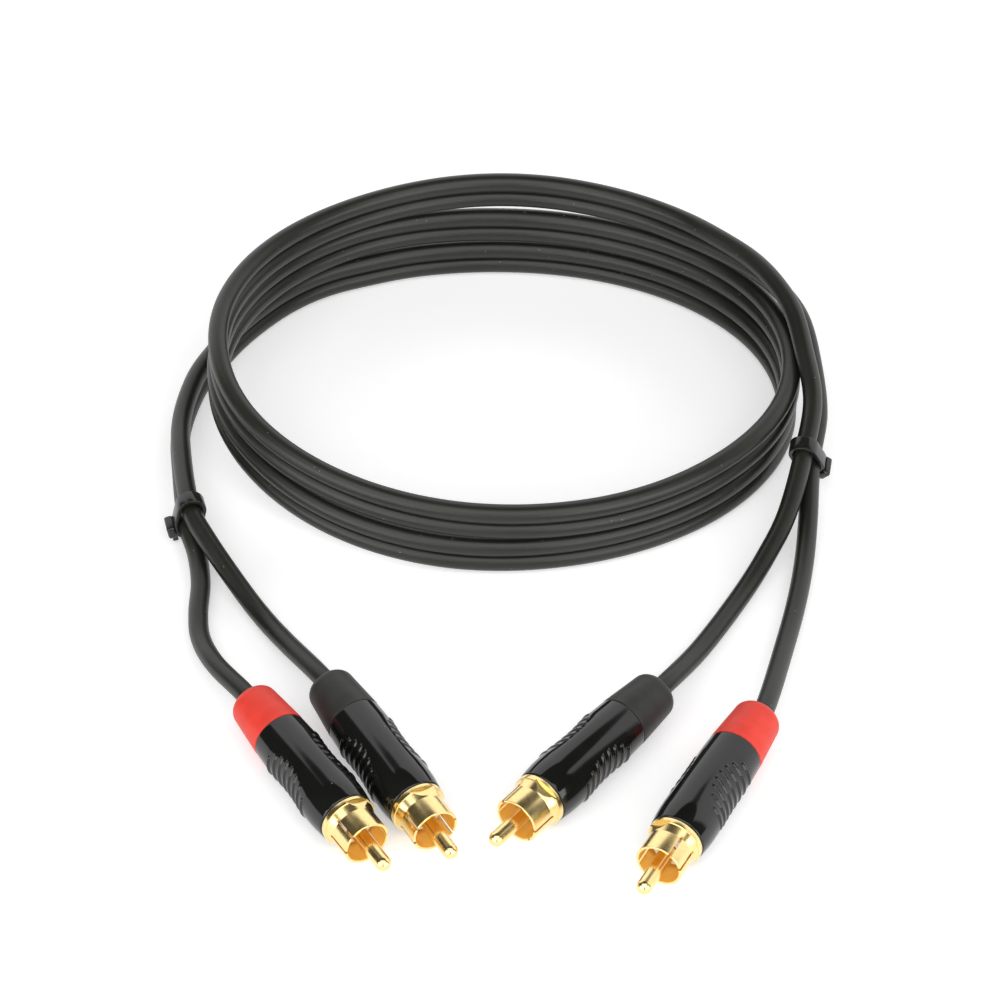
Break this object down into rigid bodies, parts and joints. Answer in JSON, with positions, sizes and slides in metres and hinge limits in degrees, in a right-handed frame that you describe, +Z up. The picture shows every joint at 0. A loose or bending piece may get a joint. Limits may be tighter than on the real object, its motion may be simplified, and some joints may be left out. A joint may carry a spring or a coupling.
{
  "type": "audio cable",
  "caption": "Coiled twin audio cable that splits behind cable ties into leads with gold-plated phono plugs, red and black collars.",
  "frame": {"origin": "on the surface that the cable lies on, under the middle of the box round the four plugs and the two cable ties", "axes": "+Z up, +Y from the plugs toward the coil, +X across, from the left pair of plugs to the right pair"},
  "size_m": [0.1432, 0.198, 0.0268],
  "materials": {
    "jacket": "satin, dark grey-black",
    "nylon": "semi-gloss black",
    "housing": "gloss black",
    "red_collar": "matt red",
    "black_collar": "matt black",
    "gold": "polished gold plate",
    "insulator": "matt white",
    "clamp": "plain metal",
    "core": "white core insulation"
  },
  "bodies": {
    "root": {"cable_coil": "jacket", "left_black_lead": "jacket", "left_red_lead": "jacket", "right_black_lead": "jacket", "right_red_lead": "jacket", "left_tie": "nylon", "right_tie": "nylon", "left_red_housing": "housing", "left_red_collar": "red_collar", "left_red_outer_contact": "gold", "left_red_centre_pin": "gold", "left_red_insulator": "insulator", "left_red_cord_clamp": "clamp", "left_red_core": "core", "left_black_housing": "housing", "left_black_collar": "black_collar", "left_black_outer_contact": "gold", "left_black_centre_pin": "gold", "left_black_insulator": "insulator", "left_black_cord_clamp": "clamp", "left_black_core": "core", "right_black_housing": "housing", "right_black_collar": "black_collar", "right_black_outer_contact": "gold", "right_black_centre_pin": "gold", "right_black_insulator": "insulator", "right_black_cord_clamp": "clamp", "right_black_core": "core", "right_red_housing": "housing", "right_red_collar": "red_collar", "right_red_outer_contact": "gold", "right_red_centre_pin": "gold", "right_red_insulator": "insulator", "right_red_cord_clamp": "clamp", "right_red_core": "core"}
  },
  "joints": []
}
